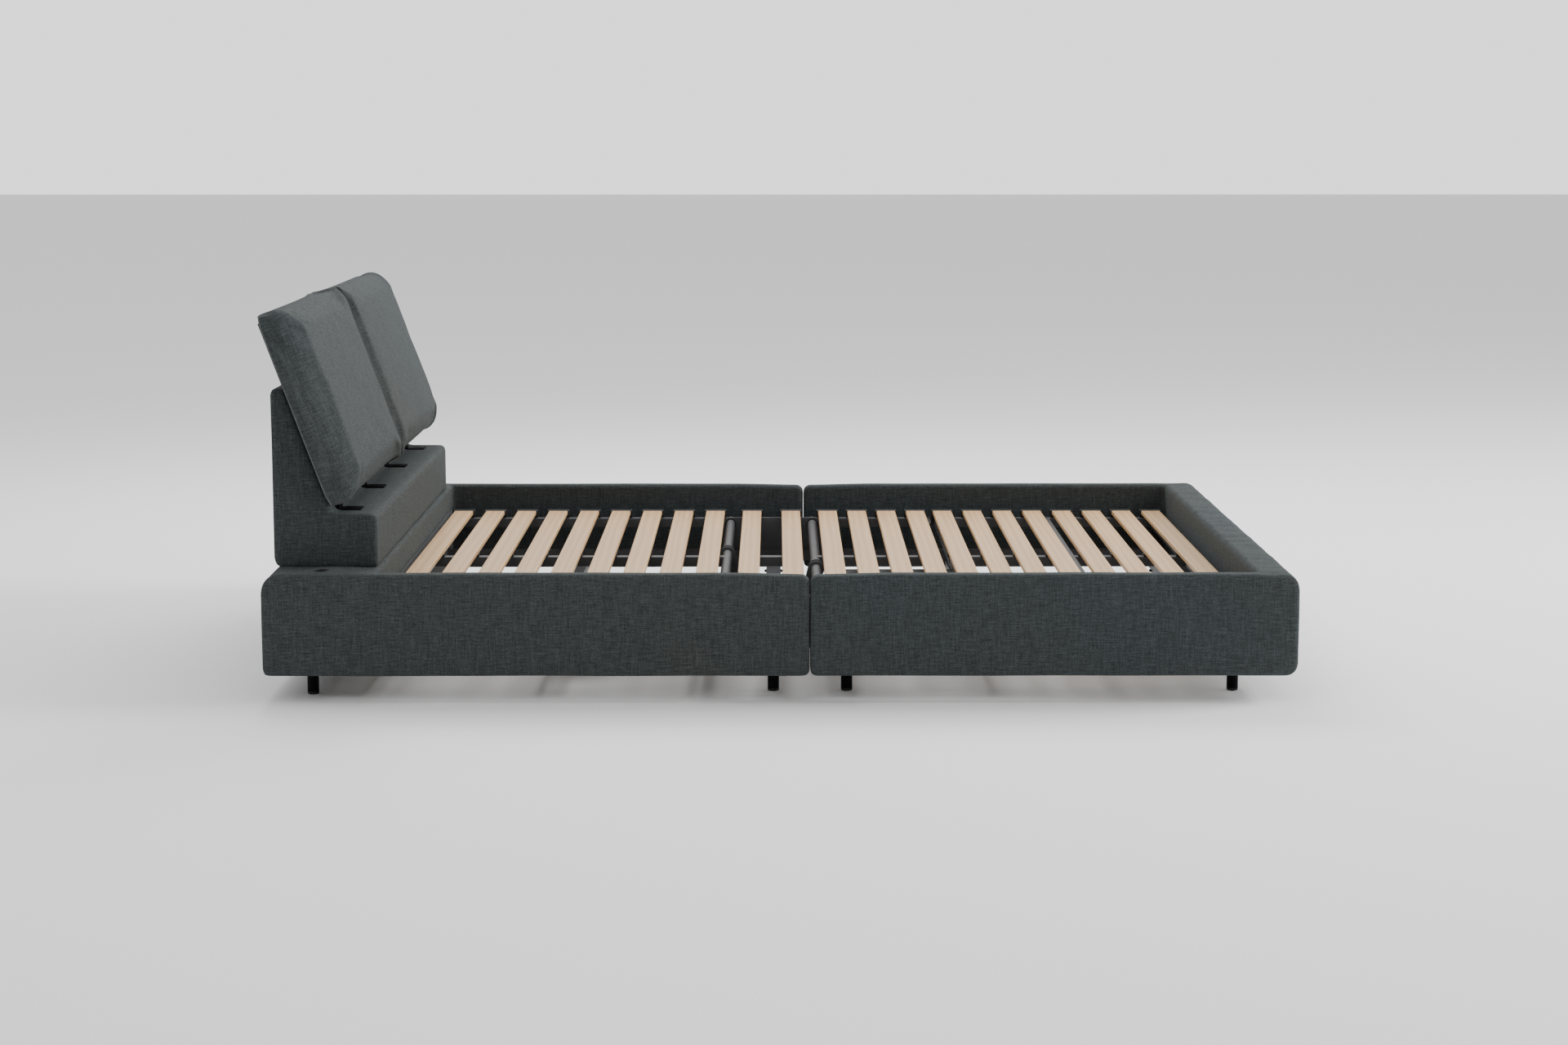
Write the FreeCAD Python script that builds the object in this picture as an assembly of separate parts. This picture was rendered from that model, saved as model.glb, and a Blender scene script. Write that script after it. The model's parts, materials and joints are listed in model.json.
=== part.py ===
import FreeCAD, Part
import math
import os

from FreeCAD import Vector

# Adjustable upholstered bed base with an articulated slatted deck and a tilting headrest pair.
# Millimetres. +X runs to the foot end, +Y to the sleeper's left, +Z up.
# The origin is on the floor under the middle of the base.
# A "station" is a distance along X from the outer face of the head end.

# ---- base box ---------------------------------------------------------------
base_length = 2400.0
base_width = 1630.0
rail_bottom = 68.0
rail_top = 301.0
seam_station = 1268.0       # where the head half and the foot half meet
seam_gap = 1.0
head_panel_depth = 45.0     # upholstered panel across the head end
foot_panel_depth = 98.0     # deeper padded panel across the foot end
side_panel_depth = 41.0
pad_outer = 13.0            # padding outside a panel's board
pad_top = 11.0
pad_bottom = 5.0
pad_inner = 3.0
end_radius = 30.0           # soft top edge at both ends
head_bottom_radius = 13.0
foot_bottom_radius = 26.0
seam_top_radius = 18.0
seam_bottom_radius = 13.0
long_edge_radius = 10.0
well_head_station = 262.0   # the mattress well starts here
board = 18.0                # general board thickness
head_board_cover = 7.0      # padding between the head board and the well side
foot_cavity_cover = 4.0     # padding on the well side of the foot panel

# ---- accessory sockets in the head-end top -----------------------------------
socket_station = 130.5
socket_inset = 56.0
socket_bore = 15.0
socket_outer = 16.5
socket_flange = 19.0
socket_flange_height = 2.0
socket_depth = 82.0
socket_floor = 3.0
hole_clearance = 0.1

# ---- headboard body ----------------------------------------------------------
headboard_rear = 12.0
headboard_front = 255.0
headboard_half_width = 700.0
ledge_height = 428.0        # top of the plinth that carries the headrests
headboard_top = 722.0
headboard_top_depth = 30.0
headboard_pad = 8.0
headboard_ply = 12.0
headboard_floor = 4.0       # padding under the plinth's frame
plinth_corner_radius = 14.0
crest_radius = 10.0
headboard_bolt_rows = (-500.0, -150.0, 150.0, 500.0)
recline = 20.0              # headrest angle from upright at rest, degrees

# ---- headrests -----------------------------------------------------------------
hinge_station = 153.0
hinge_height = 449.0
cushion_rear = 6.5          # local distances from the hinge axis, normal to the cushion's back
cushion_front = 98.0
cushion_height = 480.0
cushion_gap = 4.0
cushion_half_width = 808.0
cushion_corner_radius = 34.0
cushion_front_radius = 32.0
cushion_rear_radius = 16.0
cushion_board = 9.0
cushion_board_margin = 24.0
headrest_hinges = (205.0, 605.0)
knuckle_radius = 6.0
knuckle_half_width = 25.0
knuckle_split = 8.7
knuckle_play = 0.3
headrest_pin_radius = 3.0
running_fit = 0.05
leaf = 3.0
leaf_length = 60.0

# ---- legs and chassis ---------------------------------------------------------
leg_radius = 13.5
leg_cap = 6.0
leg_cap_radius = 3.0
leg_flange_radius = 26.0
leg_flange = 4.0
leg_stud_radius = 5.0
leg_stud = 22.0
leg_places = ((96.5, 697.0), (1183.0, 660.0), (1357.0, 660.0), (2274.0, 660.0))
cross_tube_width = 40.0
cross_tube_height = 30.0
cross_tube_bottom = 74.0
tube_wall = 2.0
end_plate = 4.0
end_plate_width = 50.0
end_plate_bolt_offset = 14.0
end_plate_height = 70.0
end_plate_bolt_rise = 18.0
bolt_radius = 4.0
bolt_head_radius = 7.0
bolt_head = 6.0
bolt_reach = 22.0
joining_plate_length = 130.0
joining_plate_bottom = 150.0
joining_plate_height = 60.0
joining_bolt_offsets = (-45.0, -20.0, 20.0, 45.0)

# ---- deck mechanism -------------------------------------------------------------
deck_rail_y = 660.0         # long tubes and hinge plates, each side
deck_rail_size = 30.0
deck_cross_stations = (640.0, 995.0, 1690.0)
deck_rail_end = 2290.0
pivot_height = 206.0
back_pivot = 1062.0
thigh_pivot = 1292.0
knee_pivot = 1622.0
torsion_radius = 13.0
torsion_wall = 2.5
torsion_half_length = 720.0
bush_radius = 15.5
bush_flange_radius = 18.5
hinge_plate = 8.0
hinge_plate_top = 225.0
hinge_plate_margin = 26.0
frame_height = 24.0
frame_width = 30.0
frame_y = 700.0             # middle of each section's side tubes
back_head_station = 275.0
back_cross_stations = (560.0, 830.0)
calf_cross_station = 1950.0
knee_gap = 18.0
calf_foot_station = 2283.0
ear = 5.0
ear_play = 0.5
ear_radius = 11.0
ear_root = 44.0             # overlap of an ear on its side tube
knee_pin_radius = 6.0
knee_pin_head = 9.0
glide_radius = 15.0
glide_half_width = 12.0
glide_play = 0.3

# ---- slats ---------------------------------------------------------------------
slat_width = 53.0
slat_thickness = 12.0
slat_half_length = 724.0
slat_bottom = 226.0
slat_edge_radius = 3.0
slat_tongue = 24.0          # thinned end that the holder grips
slat_tongue_thickness = 9.0
holder_length = 34.0
holder_outer_y = 735.0
holder_width = 61.0
holder_top = 238.5
holder_edge_radius = 2.0
holder_wall = 1.0           # rubber left past the slat's tip
holder_play = 0.2
back_slats = (303.0, 1018.2, 9)
seat_slats = (1122.0, 1232.0, 2)
thigh_slats = (1336.0, 1585.0, 4)
calf_slats = (1662.0, 2255.0, 8)

# ---- drives ---------------------------------------------------------------------
rod_drop = 74.0             # push rods run this far below the pivots
rod_radius = 9.0
drive_y = 120.0
drive_length = 365.0
drive_half_width = 35.0
drive_half_height = 28.0
housing_radius = 8.0
rod_bore_depth = 165.0
eye_radius = 5.0
back_drive_mouth = 1335.0
foot_drive_mouth = 1005.0
back_rod_reach = 375.0
foot_rod_reach = 371.0
back_lever_angle = 30.0
thigh_lever_angle = -17.5
eye_half = 12.0
cross_pin_radius = 5.0
cross_pin_half = 22.0
cross_pin_head = 8.0
lever_plate = 5.0
lever_play = 0.3
lever_hub = 21.0
lever_tip = 14.0
lever_length = 86.0
slot_half_width = 7.0
slot_start = 72.0
slot_end = 87.0
motor_radius = 26.0
motor_length = 130.0
motor_gap = 1.0             # between the motor can and the drive housing
motor_rim_radius = 4.0
gearbox_length = 35.0
control_box = (620.0, 780.0, -420.0, -270.0, 104.0, 150.0)
lead_radius = 2.5
lead_height = 120.0
lead_bend = 25.0
lead_clip_half = 7.0
lead_clip_cover = 4.0
lead_outlet_inset = 60.0    # back drive's lead, from the control box's edge
lead_turn_stations = (1400.0, 1475.0)
foot_lead_inset = 30.0
foot_lead_loop = 38.0       # how far the foot drive's lead runs past its motor
inlet_half_width = 14.0
inlet_half_height = 10.0
inlet_depth = 18.0

half_length = base_length / 2
half_width = base_width / 2
panel_inner_y = half_width - side_panel_depth
cross_tube_top = cross_tube_bottom + cross_tube_height
frame_bottom = pivot_height - frame_height / 2
frame_top = pivot_height + frame_height / 2
rod_height = pivot_height - rod_drop
foot_panel_station = base_length - foot_panel_depth
deck_rail_top = cross_tube_top + deck_rail_size
slope = math.tan(math.radians(recline))


# ---- helpers ----------------------------------------------------------------------
def at(station):
    """X of a plane this far from the head end."""
    return station - half_length


def block(s0, s1, y0, y1, z0, z1):
    """Box between two stations."""
    return Part.makeBox(s1 - s0, y1 - y0, z1 - z0, Vector(at(s0), y0, z0))


def round_y(radius, station, z, y0, y1):
    return Part.makeCylinder(radius, y1 - y0, Vector(at(station), y0, z), Vector(0, 1, 0))


def round_z(radius, station, y, z0, z1):
    return Part.makeCylinder(radius, z1 - z0, Vector(at(station), y, z0), Vector(0, 0, 1))


def round_x(radius, s0, s1, y, z):
    return Part.makeCylinder(radius, s1 - s0, Vector(at(s0), y, z), Vector(1, 0, 0))


def mirrored(shape):
    """The same piece on the other side of the bed."""
    return shape.mirror(Vector(0, 0, 0), Vector(0, 1, 0))


def both_sides(shapes):
    return shapes + [mirrored(shape) for shape in shapes]


def cut_all(shape, tools):
    for tool in tools:
        shape = shape.cut(tool)
    return shape


def prism_y(points, y0, y1):
    """Polygon of (station, z) points, extruded across the bed."""
    corners = [Vector(at(s), y0, z) for s, z in points]
    face = Part.Face(Part.makePolygon(corners + corners[:1]))
    return face.extrude(Vector(0, y1 - y0, 0))


def rounded_prism_y(s0, s1, z0, z1, radii, y0, y1):
    """Rectangle with its own radius at each corner, extruded across the bed.

    radii: low-head, low-foot, top-foot, top-head.
    """
    corners = ((s0, z0, 1, 1), (s1, z0, -1, 1), (s1, z1, -1, -1), (s0, z1, 1, -1))
    edges = []
    ends = []
    for index, (corner, radius) in enumerate(zip(corners, radii)):
        s, z, toward_s, toward_z = corner
        along_s = Vector(at(s + toward_s * radius), y0, z)
        along_z = Vector(at(s), y0, z + toward_z * radius)
        first, last = (along_z, along_s) if index % 2 == 0 else (along_s, along_z)
        ends.append((first, last))
        if radius > 0:
            bow = radius * (1 - math.sqrt(0.5))
            middle = Vector(at(s + toward_s * bow), y0, z + toward_z * bow)
            edges.append(Part.Arc(first, middle, last).toShape())
    for (_, last), (first, _) in zip(ends, ends[1:] + ends[:1]):
        edges.append(Part.LineSegment(last, first).toShape())
    wire = Part.Wire(Part.__sortEdges__(edges))
    return Part.Face(wire).extrude(Vector(0, y1 - y0, 0))


def tube_y(station, width, z0, z1, y0, y1):
    """Rectangular tube across the bed, open at its ends."""
    inner = block(station - width / 2 + tube_wall, station + width / 2 - tube_wall,
                  y0, y1, z0 + tube_wall, z1 - tube_wall)
    return block(station - width / 2, station + width / 2, y0, y1, z0, z1).cut(inner)


def tube_x(s0, s1, y, width, z0, z1):
    """Rectangular tube along the bed, open at its ends."""
    inner = block(s0, s1, y - width / 2 + tube_wall, y + width / 2 - tube_wall,
                  z0 + tube_wall, z1 - tube_wall)
    return block(s0, s1, y - width / 2, y + width / 2, z0, z1).cut(inner)


def fillet_face_y(shape, y, radius):
    """Rounds the rim of the flat face that lies at this y."""
    rim = []
    for edge in shape.Edges:
        box = edge.BoundBox
        if abs(box.YMin - y) < 0.01 and abs(box.YMax - y) < 0.01:
            rim.append(edge)
    return shape.makeFillet(radius, rim)


def export(name, shapes):
    """Writes one sub-part; several solids make a group."""
    shape = shapes[0] if len(shapes) == 1 else Part.makeCompound(shapes)
    for solid in shape.Solids:
        if not solid.isValid():
            print("invalid solid in", name)
    shape.exportStep("parts/" + name + ".step")


# ---- bolts that hold the steelwork to the side panels --------------------------------
def panel_bolt_places():
    """(station, z) of each bolt through a side panel's inner face."""
    places = []
    for station, _ in leg_places:
        for offset in (-end_plate_bolt_offset, end_plate_bolt_offset):
            places.append((station + offset, cross_tube_top + end_plate_bolt_rise))
    for offset in joining_bolt_offsets:
        z = joining_plate_bottom + joining_plate_height / 2
        places.append((seam_station + offset, z))
    return places


def panel_bolt(station, z):
    face = panel_inner_y - end_plate
    shank = round_y(bolt_radius, station, z, face, face + bolt_reach)
    head = round_y(bolt_head_radius, station, z, face - bolt_head, face)
    return head.fuse(shank).removeSplitter()


def panel_bolt_holes():
    radius = bolt_radius + hole_clearance
    face = panel_inner_y - end_plate
    return [round_y(radius, s, z, face - 1, face + bolt_reach + 1) for s, z in panel_bolt_places()]


# ---- base box panels --------------------------------------------------------------------
def side_pad(s0, s1, radii):
    """Upholstery of one side panel, wrapped round its board."""
    pad = rounded_prism_y(s0, s1, rail_bottom, rail_top, radii, panel_inner_y, half_width)
    pad = fillet_face_y(pad, half_width, long_edge_radius)
    return pad.cut(side_board(s0, s1))


def side_board(s0, s1):
    return block(s0 + pad_outer, s1 - pad_outer, panel_inner_y + pad_inner, half_width - pad_outer,
                 rail_bottom + pad_bottom, rail_top - pad_top)


def socket_hole():
    y = half_width - socket_inset
    low = rail_top - socket_depth - 1
    return round_z(socket_outer + hole_clearance, socket_station, y, low, rail_top + 1)


def head_bolt_places():
    middle = (headboard_rear + headboard_front) / 2
    return [(middle, y) for y in headboard_bolt_rows]


def head_bolt_holes(z0, z1):
    return [round_z(bolt_radius + hole_clearance, s, y, z0, z1) for s, y in head_bolt_places()]


def make_base_box():
    holes = panel_bolt_holes()
    head_end = seam_station - seam_gap / 2
    foot_start = seam_station + seam_gap / 2
    head_radii = (head_bottom_radius, seam_bottom_radius, seam_top_radius, end_radius)
    foot_radii = (seam_bottom_radius, foot_bottom_radius, end_radius, seam_top_radius)
    head_pad = cut_all(side_pad(0, head_end, head_radii), holes + [socket_hole()])
    foot_pad = cut_all(side_pad(foot_start, base_length, foot_radii), holes)
    export("head_side_pad_left", [head_pad])
    export("head_side_pad_right", [mirrored(head_pad)])
    export("foot_side_pad_left", [foot_pad])
    export("foot_side_pad_right", [mirrored(foot_pad)])

    end_y = panel_inner_y
    board_y = end_y - pad_outer
    board_low = rail_bottom + pad_bottom
    board_high = rail_top - pad_top
    head_board = block(pad_outer, head_panel_depth - head_board_cover, -board_y, board_y,
                       board_low, board_high)
    head_end_pad = rounded_prism_y(0, head_panel_depth, rail_bottom, rail_top,
                                   (head_bottom_radius, 0, 0, end_radius), -end_y, end_y)
    export("head_end_pad", [head_end_pad.cut(head_board)])
    head_sides = both_sides([cut_all(side_board(0, head_end), holes)])
    export("head_panel_boards", head_sides + [head_board])

    cavity_start = foot_panel_station + foot_cavity_cover
    cavity_end = base_length - pad_outer
    cavity = block(cavity_start, cavity_end, -board_y, board_y, board_low, board_high)
    foot_end_pad = rounded_prism_y(foot_panel_station, base_length, rail_bottom, rail_top,
                                   (0, foot_bottom_radius, end_radius, 0), -end_y, end_y)
    export("foot_end_pad", [foot_end_pad.cut(cavity)])
    foot_boards = [
        block(cavity_start, cavity_start + board, -board_y, board_y, board_low, board_high),
        block(cavity_end - board, cavity_end, -board_y, board_y, board_low, board_high),
        block(cavity_start + board, cavity_end - board, -board_y, board_y,
              board_high - board, board_high),
    ]
    foot_sides = both_sides([cut_all(side_board(foot_start, base_length), holes)])
    export("foot_panel_boards", foot_sides + foot_boards)


def make_head_deck():
    """The closed top at the head end, which carries the headboard and the sockets."""
    pad_low = rail_top - headboard_pad
    board_low = pad_low - board
    sockets = both_sides([socket_hole()])
    bolts = head_bolt_holes(board_low - 1, rail_top + 1)
    top_pad = block(head_panel_depth, well_head_station, -panel_inner_y, panel_inner_y,
                    pad_low, rail_top)
    top_board = block(head_panel_depth, well_head_station, -panel_inner_y, panel_inner_y,
                      board_low, pad_low)
    export("head_top_pad", [cut_all(top_pad, sockets + bolts)])
    export("head_top_board", [cut_all(top_board, sockets + bolts)])
    inner = block(well_head_station - board, well_head_station, -panel_inner_y, panel_inner_y,
                  cross_tube_bottom, board_low)
    export("head_inner_board", [inner])


def make_sockets():
    y = half_width - socket_inset
    low = rail_top - socket_depth
    cup = round_z(socket_outer, socket_station, y, low, rail_top)
    flange = round_z(socket_flange, socket_station, y, rail_top, rail_top + socket_flange_height)
    bore = round_z(socket_bore, socket_station, y, low + socket_floor, rail_top + 10)
    socket = cup.fuse(flange).removeSplitter().cut(bore)
    export("accessory_socket_left", [socket])
    export("accessory_socket_right", [mirrored(socket)])


# ---- headboard body ------------------------------------------------------------------------
def slant(z, inset=0.0):
    """Station of the slanted front at height z, inset by a distance normal to it."""
    top_front = headboard_rear + headboard_top_depth
    low_front = top_front + (headboard_top - ledge_height) * slope
    return low_front - (z - ledge_height) * slope - inset / math.cos(math.radians(recline))


def make_headboard():
    width = headboard_half_width
    inner_width = width - headboard_pad
    rear = headboard_rear + headboard_pad
    front = headboard_front - headboard_pad
    floor = rail_top + headboard_floor
    ceiling = ledge_height - headboard_pad
    plinth = block(headboard_rear, headboard_front, -width, width, rail_top, ledge_height)
    corners = [e for e in plinth.Edges if e.BoundBox.ZLength > ledge_height - rail_top - 1]
    plinth = plinth.makeFillet(plinth_corner_radius, corners)
    hollow = block(rear, front, -inner_width, inner_width, floor, ceiling)
    bolts = head_bolt_holes(rail_top - 1, floor + board + 1)
    export("headboard_plinth_pad", [cut_all(plinth, [hollow] + bolts)])

    bottom = block(rear + board, front - board, -inner_width, inner_width, floor, floor + board)
    frame = [
        block(rear, rear + board, -inner_width, inner_width, floor, ceiling),
        block(front - board, front, -inner_width, inner_width, floor, ceiling),
        cut_all(bottom, bolts),
        block(rear + board, front - board, -inner_width, inner_width, ceiling - board, ceiling),
    ]
    for y in (-inner_width, -board / 2, inner_width - board):
        frame.append(block(rear + board, front - board, y, y + board,
                           floor + board, ceiling - board))
    export("headboard_plinth_frame", frame)

    outline = ((headboard_rear, ledge_height), (headboard_rear, headboard_top),
               (headboard_rear + headboard_top_depth, headboard_top),
               (slant(ledge_height), ledge_height))
    wedge = prism_y(outline, -width, width)
    top_edges = [e for e in wedge.Edges if e.BoundBox.ZMin > headboard_top - 1]
    crest = [e for e in top_edges if e.BoundBox.YLength > width]
    wedge = wedge.makeFillet(crest_radius, crest)
    low = ledge_height + headboard_floor
    high = headboard_top - headboard_pad
    hollow = prism_y(((rear, low), (rear, high), (slant(high, headboard_pad), high),
                      (slant(low, headboard_pad), low)), -inner_width, inner_width)
    export("headboard_pad", [wedge.cut(hollow)])

    back_face = rear + headboard_ply
    slant_in = headboard_pad + headboard_ply
    meet = ledge_height + (slant(ledge_height, slant_in) - back_face) / slope
    frame = [
        block(rear, back_face, -inner_width, inner_width, low, high),
        prism_y(((slant(low, headboard_pad), low), (slant(low, slant_in), low),
                 (slant(meet, slant_in), meet), (slant(meet, headboard_pad), meet)),
                -inner_width, inner_width),
    ]
    for y in (-inner_width, -board / 2, inner_width - board):
        frame.append(prism_y(((back_face, low), (back_face, meet), (slant(low, slant_in), low)),
                             y, y + board))
    export("headboard_frame", frame)

    bolt_low = rail_top - headboard_pad - board
    heads = []
    for s, y in head_bolt_places():
        head = round_z(bolt_head_radius, s, y, bolt_low - bolt_head, bolt_low)
        shank = round_z(bolt_radius, s, y, bolt_low, floor + board)
        heads.append(head.fuse(shank).removeSplitter())
    export("headboard_bolts", heads)


# ---- headrests -----------------------------------------------------------------------------
def reclined(shape):
    """From the hinge's own frame (X off the back, Z up the back) to the bed."""
    shape.rotate(Vector(0, 0, 0), Vector(0, 1, 0), -recline)
    shape.translate(Vector(at(hinge_station), 0, hinge_height))
    return shape


def local_box(x0, x1, y0, y1, z0, z1):
    return Part.makeBox(x1 - x0, y1 - y0, z1 - z0, Vector(x0, y0, z0))


def make_headrest_left():
    """Cushion, its board and its hinge leaves, all for the left side."""
    y0 = cushion_gap / 2
    y1 = cushion_half_width
    cushion = local_box(cushion_rear, cushion_front, y0, y1, 0, cushion_height)
    corners = [e for e in cushion.Edges if e.BoundBox.XLength > 1]
    cushion = cushion.makeFillet(cushion_corner_radius, corners)
    for x, radius in ((cushion_front, cushion_front_radius), (cushion_rear, cushion_rear_radius)):
        flat = [e for e in cushion.Edges if e.BoundBox.XLength < 0.01]
        rim = [e for e in flat if abs(e.BoundBox.XMin - x) < 0.01]
        cushion = cushion.makeFillet(radius, rim)
    margin = cushion_board_margin
    ply = local_box(cushion_rear, cushion_rear + cushion_board, y0 + margin, y1 - margin,
                    margin, cushion_height - margin)
    leaves = []
    for y in headrest_hinges:
        plate_low = knuckle_radius + 3
        half = knuckle_half_width
        plate = local_box(cushion_rear - leaf, cushion_rear, y - half, y + half,
                          plate_low, leaf_length)
        neck = local_box(cushion_rear - leaf, cushion_rear - 0.5, y - knuckle_split,
                         y + knuckle_split, 0, plate_low)
        knuckle = Part.makeCylinder(knuckle_radius, 2 * knuckle_split,
                                    Vector(0, y - knuckle_split, 0), Vector(0, 1, 0))
        bore = Part.makeCylinder(headrest_pin_radius + running_fit, 4 * half,
                                 Vector(0, y - 2 * half, 0), Vector(0, 1, 0))
        leaves.append(plate.fuse([neck, knuckle]).removeSplitter().cut(bore))
    cushion = cushion.cut(ply)
    return [reclined(cushion)], [reclined(ply)], [reclined(one) for one in leaves]


def make_headrests():
    cushion, ply, leaves = make_headrest_left()
    for name, group in (("headrest_cushion", cushion), ("headrest_board", ply),
                        ("headrest_hinge_leaves", leaves)):
        export(name + "_left", group)
        export(name + "_right", [mirrored(shape) for shape in group])

    brackets = []
    pins = []
    for y in headrest_hinges:
        half = knuckle_half_width
        foot = block(hinge_station + 5, hinge_station + 55, y - half, y + half,
                     ledge_height, ledge_height + leaf)
        shapes = []
        inner = knuckle_split + knuckle_play
        for low, high in ((y - half, y - inner), (y + inner, y + half)):
            shapes.append(block(hinge_station - 3, hinge_station + 5, low, high,
                                ledge_height, hinge_height))
            shapes.append(round_y(knuckle_radius, hinge_station, hinge_height, low, high))
        bore = round_y(headrest_pin_radius + running_fit, hinge_station, hinge_height,
                       y - 2 * half, y + 2 * half)
        brackets.append(foot.fuse(shapes).removeSplitter().cut(bore))
        pin = round_y(headrest_pin_radius, hinge_station, hinge_height, y - half - 2, y + half + 2)
        pins.append(pin)
    export("headrest_brackets", both_sides(brackets))
    export("headrest_pins", both_sides(pins))


# ---- legs and cross tubes ---------------------------------------------------------------------
def make_legs():
    legs = []
    caps = []
    top = cross_tube_bottom - leg_flange
    for station, y in leg_places:
        post = round_z(leg_radius, station, y, leg_cap, top)
        flange = round_z(leg_flange_radius, station, y, top, cross_tube_bottom)
        stud = round_z(leg_stud_radius, station, y, cross_tube_bottom, cross_tube_bottom + leg_stud)
        legs.append(post.fuse([flange, stud]).removeSplitter())
        cap = round_z(leg_radius, station, y, 0, leg_cap)
        rim = [e for e in cap.Edges if e.BoundBox.ZMax < 0.01]
        caps.append(cap.makeFillet(leg_cap_radius, rim))
    export("legs", both_sides(legs))
    export("leg_caps", both_sides(caps))


def cross_member(station, leg_y):
    """A tube across the box, with a bolted plate at each end."""
    tube_end = panel_inner_y - end_plate
    tube = tube_y(station, cross_tube_width, cross_tube_bottom, cross_tube_top, -tube_end, tube_end)
    hole = round_z(leg_stud_radius + hole_clearance, station, leg_y,
                   cross_tube_bottom - 1, cross_tube_bottom + tube_wall + 1)
    tube = cut_all(tube, both_sides([hole]))
    plate = block(station - end_plate_width / 2, station + end_plate_width / 2,
                  tube_end, panel_inner_y, cross_tube_bottom, cross_tube_bottom + end_plate_height)
    plate = cut_all(plate, panel_bolt_holes())
    return [tube] + both_sides([plate])


def make_cross_tubes():
    members = [cross_member(station, y) for station, y in leg_places]
    export("head_cross_tubes", members[0] + members[1])
    export("foot_cross_tubes", members[2] + members[3])
    bolts = [panel_bolt(station, z) for station, z in panel_bolt_places()]
    export("panel_bolts", both_sides(bolts))
    plate = block(seam_station - joining_plate_length / 2, seam_station + joining_plate_length / 2,
                  panel_inner_y - end_plate, panel_inner_y,
                  joining_plate_bottom, joining_plate_bottom + joining_plate_height)
    export("joining_plates", both_sides([cut_all(plate, panel_bolt_holes())]))


# ---- deck base, hinge plates and bushes ----------------------------------------------------------
def make_deck_base():
    rail = tube_x(well_head_station + end_plate, deck_rail_end, deck_rail_y, deck_rail_size,
                  cross_tube_top, deck_rail_top)
    foot = block(well_head_station, well_head_station + end_plate, deck_rail_y - 20,
                 deck_rail_y + 20, cross_tube_top - 4, deck_rail_top + 6)
    outer = deck_rail_y + deck_rail_size / 2
    cross = [tube_y(s, cross_tube_width, cross_tube_bottom, cross_tube_top, -outer, outer)
             for s in deck_cross_stations]
    export("deck_base_frame", both_sides([rail, foot]) + cross)

    half = hinge_plate / 2
    plate = rounded_prism_y(back_pivot - hinge_plate_margin, thigh_pivot + hinge_plate_margin,
                            deck_rail_top, hinge_plate_top, (4, 4, 18, 18),
                            deck_rail_y - half, deck_rail_y + half)
    windows = [block(s - frame_width / 2, s + frame_width / 2, 0, half_width, frame_bottom, frame_top)
               for s in seat_cross_stations()]
    bores = [round_y(bush_radius, s, pivot_height, 0, half_width) for s in (back_pivot, thigh_pivot)]
    export("hinge_plates", both_sides([cut_all(plate, windows + bores)]))
    bushes = []
    for station in (back_pivot, thigh_pivot):
        sleeve = round_y(bush_radius, station, pivot_height, deck_rail_y - half, deck_rail_y + half)
        flange = round_y(bush_flange_radius, station, pivot_height,
                         deck_rail_y + half, deck_rail_y + half + 2)
        bore = round_y(torsion_radius + running_fit, station, pivot_height, 0, half_width)
        bushes.append(sleeve.fuse(flange).removeSplitter().cut(bore))
    export("hinge_bushes", both_sides(bushes))


# ---- deck sections -----------------------------------------------------------------------------
def seat_cross_stations():
    return (seat_slats[0] + 5, seat_slats[1] - 5)


def spaced(layout):
    first, last, count = layout
    return [first + (last - first) * index / (count - 1) for index in range(count)]


def half_cross_tubes(stations):
    """Cross tubes in two halves, from the middle tube to the side tubes."""
    start = frame_width / 2
    end = frame_y - frame_width / 2
    halves = [tube_y(s, frame_width, frame_bottom, frame_top, start, end) for s in stations]
    return both_sides(halves)


def long_tubes(s0, s1, pivot=None):
    """Two side tubes and a middle tube, coped round the torsion tube where there is one."""
    tubes = [tube_x(s0, s1, y, frame_width, frame_bottom, frame_top) for y in (-frame_y, 0, frame_y)]
    if pivot is None:
        return tubes
    cope = round_y(torsion_radius, pivot, pivot_height, -half_width, half_width)
    return [tube.cut(cope) for tube in tubes]


def lever_plates(pivot, y, angle):
    """A pair of slotted plates that hang from the torsion tube, leaning by the rest angle."""
    plates = []
    inner = eye_half + lever_play
    for y0 in (y - inner - lever_plate, y + inner):
        y1 = y0 + lever_plate
        tip = pivot_height - lever_length
        arm = prism_y(((pivot - 20, pivot_height - 6), (pivot + 20, pivot_height - 6),
                       (pivot + lever_tip, tip), (pivot - lever_tip, tip)), y0, y1)
        hub = round_y(lever_hub, pivot, pivot_height, y0, y1)
        end = round_y(lever_tip, pivot, tip, y0, y1)
        slot = rounded_slot(pivot, y0 - 1, y1 + 1)
        bore = round_y(torsion_radius, pivot, pivot_height, y0 - 1, y1 + 1)
        plate = arm.fuse([hub, end]).removeSplitter().cut(slot).cut(bore)
        plate.rotate(Vector(at(pivot), 0, pivot_height), Vector(0, 1, 0), -angle)
        plates.append(plate)
    return plates


def rounded_slot(pivot, y0, y1):
    low = pivot_height - slot_end
    high = pivot_height - slot_start
    middle = block(pivot - slot_half_width, pivot + slot_half_width, y0, y1, low, high)
    ends = [round_y(slot_half_width, pivot, z, y0, y1) for z in (low, high)]
    return middle.fuse(ends).removeSplitter()


def torsion_tube(pivot):
    outer = round_y(torsion_radius, pivot, pivot_height, -torsion_half_length, torsion_half_length)
    inner = round_y(torsion_radius - torsion_wall, pivot, pivot_height,
                    -torsion_half_length, torsion_half_length)
    return outer.cut(inner)


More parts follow.
